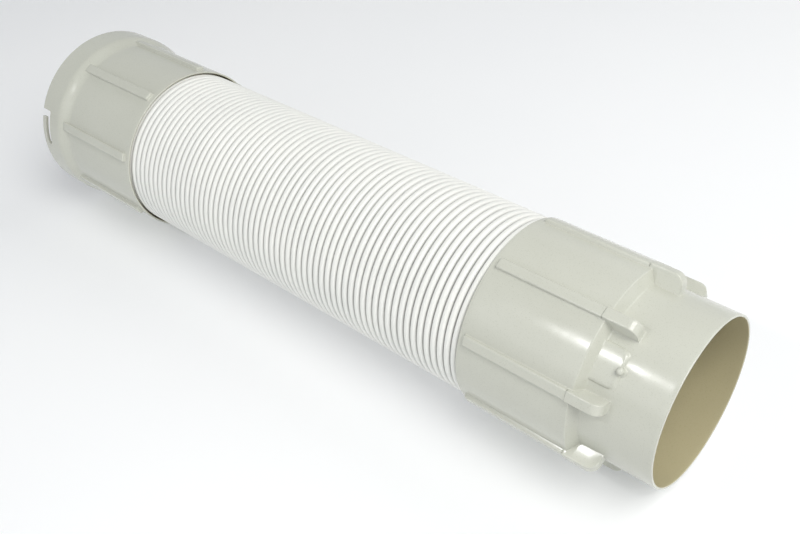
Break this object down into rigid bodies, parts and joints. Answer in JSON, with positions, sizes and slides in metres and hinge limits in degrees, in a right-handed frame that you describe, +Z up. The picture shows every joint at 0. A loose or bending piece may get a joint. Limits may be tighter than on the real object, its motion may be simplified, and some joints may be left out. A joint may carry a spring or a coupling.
{
  "type": "flexible air duct",
  "caption": "Ribbed, screw-on end couplings joined by a white helically corrugated hose that stretches and bends, with a socket at one end and a pegged spigot at the other.",
  "frame": {"origin": "on the floor, under the middle of the duct", "axes": "+X along the duct towards the window end, -X towards the appliance end, +Z up"},
  "size_m": [0.587, 0.144, 0.144],
  "materials": {
    "coupling_plastic": "semi-gloss moulded plastic, warm greyish beige",
    "hose_plastic": "satin extruded plastic strip, off-white"
  },
  "bodies": {
    "appliance_coupling": {"appliance_coupling": "coupling_plastic"},
    "hose_end_appliance": {"hose_end_appliance": "hose_plastic"},
    "hose_turns_01": {"hose_turns_01": "hose_plastic"},
    "hose_turns_02": {"hose_turns_02": "hose_plastic"},
    "hose_turns_03": {"hose_turns_03": "hose_plastic"},
    "hose_turns_04": {"hose_turns_04": "hose_plastic"},
    "hose_turns_05": {"hose_turns_05": "hose_plastic"},
    "hose_turns_06": {"hose_turns_06": "hose_plastic"},
    "hose_turns_07": {"hose_turns_07": "hose_plastic"},
    "hose_turns_08": {"hose_turns_08": "hose_plastic"},
    "hose_turns_09": {"hose_turns_09": "hose_plastic"},
    "hose_turns_10": {"hose_turns_10": "hose_plastic"},
    "hose_turns_11": {"hose_turns_11": "hose_plastic"},
    "hose_turns_12": {"hose_turns_12": "hose_plastic"},
    "hose_turns_13": {"hose_turns_13": "hose_plastic"},
    "hose_turns_14": {"hose_turns_14": "hose_plastic"},
    "hose_turns_15": {"hose_turns_15": "hose_plastic"},
    "hose_turns_16": {"hose_turns_16": "hose_plastic"},
    "hose_turns_17": {"hose_turns_17": "hose_plastic"},
    "hose_turns_18": {"hose_turns_18": "hose_plastic"},
    "hose_turns_19": {"hose_turns_19": "hose_plastic"},
    "hose_turns_20": {"hose_turns_20": "hose_plastic"},
    "hose_turns_21": {"hose_turns_21": "hose_plastic"},
    "hose_turns_22": {"hose_turns_22": "hose_plastic"},
    "hose_turns_23": {"hose_turns_23": "hose_plastic"},
    "hose_turns_24": {"hose_turns_24": "hose_plastic"},
    "hose_turns_25": {"hose_turns_25": "hose_plastic"},
    "hose_turns_26": {"hose_turns_26": "hose_plastic"},
    "hose_turns_27": {"hose_turns_27": "hose_plastic"},
    "hose_turns_28": {"hose_turns_28": "hose_plastic"},
    "hose_turns_29": {"hose_turns_29": "hose_plastic"},
    "hose_turns_30": {"hose_turns_30": "hose_plastic"},
    "hose_turns_31": {"hose_turns_31": "hose_plastic"},
    "hose_turns_32": {"hose_turns_32": "hose_plastic"},
    "hose_turns_33": {"hose_turns_33": "hose_plastic"},
    "hose_turns_34": {"hose_turns_34": "hose_plastic"},
    "hose_turns_35": {"hose_turns_35": "hose_plastic"},
    "hose_turns_36": {"hose_turns_36": "hose_plastic"},
    "hose_turns_37": {"hose_turns_37": "hose_plastic"},
    "hose_turns_38": {"hose_turns_38": "hose_plastic"},
    "hose_turns_39": {"hose_turns_39": "hose_plastic"},
    "hose_end_window": {"hose_end_window": "hose_plastic"},
    "window_coupling": {"window_coupling": "coupling_plastic"}
  },
  "joints": [
    {"name": "appliance_coupling_turn", "type": "hinge", "parent": "appliance_coupling", "child": "hose_end_appliance", "pos_m": [-0.1775, 0, 0.072], "axis": [1, 0, 0], "range_deg": [-30, 30]},
    {"name": "extend", "type": "slide", "parent": "hose_end_appliance", "child": "hose_turns_01", "axis": [1, 0, 0], "range_m": [0, 0.03]},
    {"name": "bend_up", "type": "hinge", "parent": "hose_turns_01", "child": "hose_turns_02", "pos_m": [-0.1663, 0, 0.137], "axis": [0, -1, 0], "range_deg": [0, 12]},
    {"name": "extend_02", "type": "slide", "parent": "hose_turns_02", "child": "hose_turns_03", "axis": [1, 0, 0], "range_m": [0, 0.03]},
    {"name": "bend_left_down", "type": "hinge", "parent": "hose_turns_03", "child": "hose_turns_04", "pos_m": [-0.1495, 0.05629, 0.0395], "axis": [0, 0.5, 0.866], "range_deg": [0, 12]},
    {"name": "extend_03", "type": "slide", "parent": "hose_turns_04", "child": "hose_turns_05", "axis": [1, 0, 0], "range_m": [0, 0.03]},
    {"name": "bend_right_down", "type": "hinge", "parent": "hose_turns_05", "child": "hose_turns_06", "pos_m": [-0.1327, -0.05629, 0.0395], "axis": [0, 0.5, -0.866], "range_deg": [0, 12]},
    {"name": "extend_04", "type": "slide", "parent": "hose_turns_06", "child": "hose_turns_07", "axis": [1, 0, 0], "range_m": [0, 0.03]},
    {"name": "bend_up_02", "type": "hinge", "parent": "hose_turns_07", "child": "hose_turns_08", "pos_m": [-0.1159, 0, 0.137], "axis": [0, -1, 0], "range_deg": [0, 12]},
    {"name": "extend_05", "type": "slide", "parent": "hose_turns_08", "child": "hose_turns_09", "axis": [1, 0, 0], "range_m": [0, 0.03]},
    {"name": "bend_left_down_02", "type": "hinge", "parent": "hose_turns_09", "child": "hose_turns_10", "pos_m": [-0.0991, 0.05629, 0.0395], "axis": [0, 0.5, 0.866], "range_deg": [0, 12]},
    {"name": "extend_06", "type": "slide", "parent": "hose_turns_10", "child": "hose_turns_11", "axis": [1, 0, 0], "range_m": [0, 0.03]},
    {"name": "bend_right_down_02", "type": "hinge", "parent": "hose_turns_11", "child": "hose_turns_12", "pos_m": [-0.0823, -0.05629, 0.0395], "axis": [0, 0.5, -0.866], "range_deg": [0, 12]},
    {"name": "extend_07", "type": "slide", "parent": "hose_turns_12", "child": "hose_turns_13", "axis": [1, 0, 0], "range_m": [0, 0.03]},
    {"name": "bend_up_03", "type": "hinge", "parent": "hose_turns_13", "child": "hose_turns_14", "pos_m": [-0.0655, 0, 0.137], "axis": [0, -1, 0], "range_deg": [0, 12]},
    {"name": "extend_08", "type": "slide", "parent": "hose_turns_14", "child": "hose_turns_15", "axis": [1, 0, 0], "range_m": [0, 0.03]},
    {"name": "bend_left_down_03", "type": "hinge", "parent": "hose_turns_15", "child": "hose_turns_16", "pos_m": [-0.0487, 0.05629, 0.0395], "axis": [0, 0.5, 0.866], "range_deg": [0, 12]},
    {"name": "extend_09", "type": "slide", "parent": "hose_turns_16", "child": "hose_turns_17", "axis": [1, 0, 0], "range_m": [0, 0.03]},
    {"name": "bend_right_down_03", "type": "hinge", "parent": "hose_turns_17", "child": "hose_turns_18", "pos_m": [-0.0319, -0.05629, 0.0395], "axis": [0, 0.5, -0.866], "range_deg": [0, 12]},
    {"name": "extend_10", "type": "slide", "parent": "hose_turns_18", "child": "hose_turns_19", "axis": [1, 0, 0], "range_m": [0, 0.03]},
    {"name": "bend_up_04", "type": "hinge", "parent": "hose_turns_19", "child": "hose_turns_20", "pos_m": [-0.0151, 0, 0.137], "axis": [0, -1, 0], "range_deg": [0, 12]},
    {"name": "extend_11", "type": "slide", "parent": "hose_turns_20", "child": "hose_turns_21", "axis": [1, 0, 0], "range_m": [0, 0.03]},
    {"name": "bend_left_down_04", "type": "hinge", "parent": "hose_turns_21", "child": "hose_turns_22", "pos_m": [0.0017, 0.05629, 0.0395], "axis": [0, 0.5, 0.866], "range_deg": [0, 12]},
    {"name": "extend_12", "type": "slide", "parent": "hose_turns_22", "child": "hose_turns_23", "axis": [1, 0, 0], "range_m": [0, 0.03]},
    {"name": "bend_right_down_04", "type": "hinge", "parent": "hose_turns_23", "child": "hose_turns_24", "pos_m": [0.0185, -0.05629, 0.0395], "axis": [0, 0.5, -0.866], "range_deg": [0, 12]},
    {"name": "extend_13", "type": "slide", "parent": "hose_turns_24", "child": "hose_turns_25", "axis": [1, 0, 0], "range_m": [0, 0.03]},
    {"name": "bend_up_05", "type": "hinge", "parent": "hose_turns_25", "child": "hose_turns_26", "pos_m": [0.0353, 0, 0.137], "axis": [0, -1, 0], "range_deg": [0, 12]},
    {"name": "extend_14", "type": "slide", "parent": "hose_turns_26", "child": "hose_turns_27", "axis": [1, 0, 0], "range_m": [0, 0.03]},
    {"name": "bend_left_down_05", "type": "hinge", "parent": "hose_turns_27", "child": "hose_turns_28", "pos_m": [0.0521, 0.05629, 0.0395], "axis": [0, 0.5, 0.866], "range_deg": [0, 12]},
    {"name": "extend_15", "type": "slide", "parent": "hose_turns_28", "child": "hose_turns_29", "axis": [1, 0, 0], "range_m": [0, 0.03]},
    {"name": "bend_right_down_05", "type": "hinge", "parent": "hose_turns_29", "child": "hose_turns_30", "pos_m": [0.0689, -0.05629, 0.0395], "axis": [0, 0.5, -0.866], "range_deg": [0, 12]},
    {"name": "extend_16", "type": "slide", "parent": "hose_turns_30", "child": "hose_turns_31", "axis": [1, 0, 0], "range_m": [0, 0.03]},
    {"name": "bend_up_06", "type": "hinge", "parent": "hose_turns_31", "child": "hose_turns_32", "pos_m": [0.0857, 0, 0.137], "axis": [0, -1, 0], "range_deg": [0, 12]},
    {"name": "extend_17", "type": "slide", "parent": "hose_turns_32", "child": "hose_turns_33", "axis": [1, 0, 0], "range_m": [0, 0.03]},
    {"name": "bend_left_down_06", "type": "hinge", "parent": "hose_turns_33", "child": "hose_turns_34", "pos_m": [0.1025, 0.05629, 0.0395], "axis": [0, 0.5, 0.866], "range_deg": [0, 12]},
    {"name": "extend_18", "type": "slide", "parent": "hose_turns_34", "child": "hose_turns_35", "axis": [1, 0, 0], "range_m": [0, 0.03]},
    {"name": "bend_right_down_06", "type": "hinge", "parent": "hose_turns_35", "child": "hose_turns_36", "pos_m": [0.1193, -0.05629, 0.0395], "axis": [0, 0.5, -0.866], "range_deg": [0, 12]},
    {"name": "extend_19", "type": "slide", "parent": "hose_turns_36", "child": "hose_turns_37", "axis": [1, 0, 0], "range_m": [0, 0.03]},
    {"name": "bend_up_07", "type": "hinge", "parent": "hose_turns_37", "child": "hose_turns_38", "pos_m": [0.1361, 0, 0.137], "axis": [0, -1, 0], "range_deg": [0, 12]},
    {"name": "extend_20", "type": "slide", "parent": "hose_turns_38", "child": "hose_turns_39", "axis": [1, 0, 0], "range_m": [0, 0.03]},
    {"name": "bend_left_down_07", "type": "hinge", "parent": "hose_turns_39", "child": "hose_end_window", "pos_m": [0.1529, 0.05629, 0.0395], "axis": [0, 0.5, 0.866], "range_deg": [0, 12]},
    {"name": "window_coupling_turn", "type": "hinge", "parent": "hose_end_window", "child": "window_coupling", "pos_m": [0.1585, 0, 0.072], "axis": [1, 0, 0], "range_deg": [-30, 30]}
  ],
  "couplings": [
    {"joint": "extend_02", "follows": "extend", "ratio": 1},
    {"joint": "extend_03", "follows": "extend", "ratio": 1},
    {"joint": "extend_04", "follows": "extend", "ratio": 1},
    {"joint": "bend_up_02", "follows": "bend_up", "ratio": 1},
    {"joint": "extend_05", "follows": "extend", "ratio": 1},
    {"joint": "bend_left_down_02", "follows": "bend_left_down", "ratio": 1},
    {"joint": "extend_06", "follows": "extend", "ratio": 1},
    {"joint": "bend_right_down_02", "follows": "bend_right_down", "ratio": 1},
    {"joint": "extend_07", "follows": "extend", "ratio": 1},
    {"joint": "bend_up_03", "follows": "bend_up", "ratio": 1},
    {"joint": "extend_08", "follows": "extend", "ratio": 1},
    {"joint": "bend_left_down_03", "follows": "bend_left_down", "ratio": 1},
    {"joint": "extend_09", "follows": "extend", "ratio": 1},
    {"joint": "bend_right_down_03", "follows": "bend_right_down", "ratio": 1},
    {"joint": "extend_10", "follows": "extend", "ratio": 1},
    {"joint": "bend_up_04", "follows": "bend_up", "ratio": 1},
    {"joint": "extend_11", "follows": "extend", "ratio": 1},
    {"joint": "bend_left_down_04", "follows": "bend_left_down", "ratio": 1},
    {"joint": "extend_12", "follows": "extend", "ratio": 1},
    {"joint": "bend_right_down_04", "follows": "bend_right_down", "ratio": 1},
    {"joint": "extend_13", "follows": "extend", "ratio": 1},
    {"joint": "bend_up_05", "follows": "bend_up", "ratio": 1},
    {"joint": "extend_14", "follows": "extend", "ratio": 1},
    {"joint": "bend_left_down_05", "follows": "bend_left_down", "ratio": 1},
    {"joint": "extend_15", "follows": "extend", "ratio": 1},
    {"joint": "bend_right_down_05", "follows": "bend_right_down", "ratio": 1},
    {"joint": "extend_16", "follows": "extend", "ratio": 1},
    {"joint": "bend_up_06", "follows": "bend_up", "ratio": 1},
    {"joint": "extend_17", "follows": "extend", "ratio": 1},
    {"joint": "bend_left_down_06", "follows": "bend_left_down", "ratio": 1},
    {"joint": "extend_18", "follows": "extend", "ratio": 1},
    {"joint": "bend_right_down_06", "follows": "bend_right_down", "ratio": 1},
    {"joint": "extend_19", "follows": "extend", "ratio": 1},
    {"joint": "bend_up_07", "follows": "bend_up", "ratio": 1},
    {"joint": "extend_20", "follows": "extend", "ratio": 1},
    {"joint": "bend_left_down_07", "follows": "bend_left_down", "ratio": 1}
  ]
}
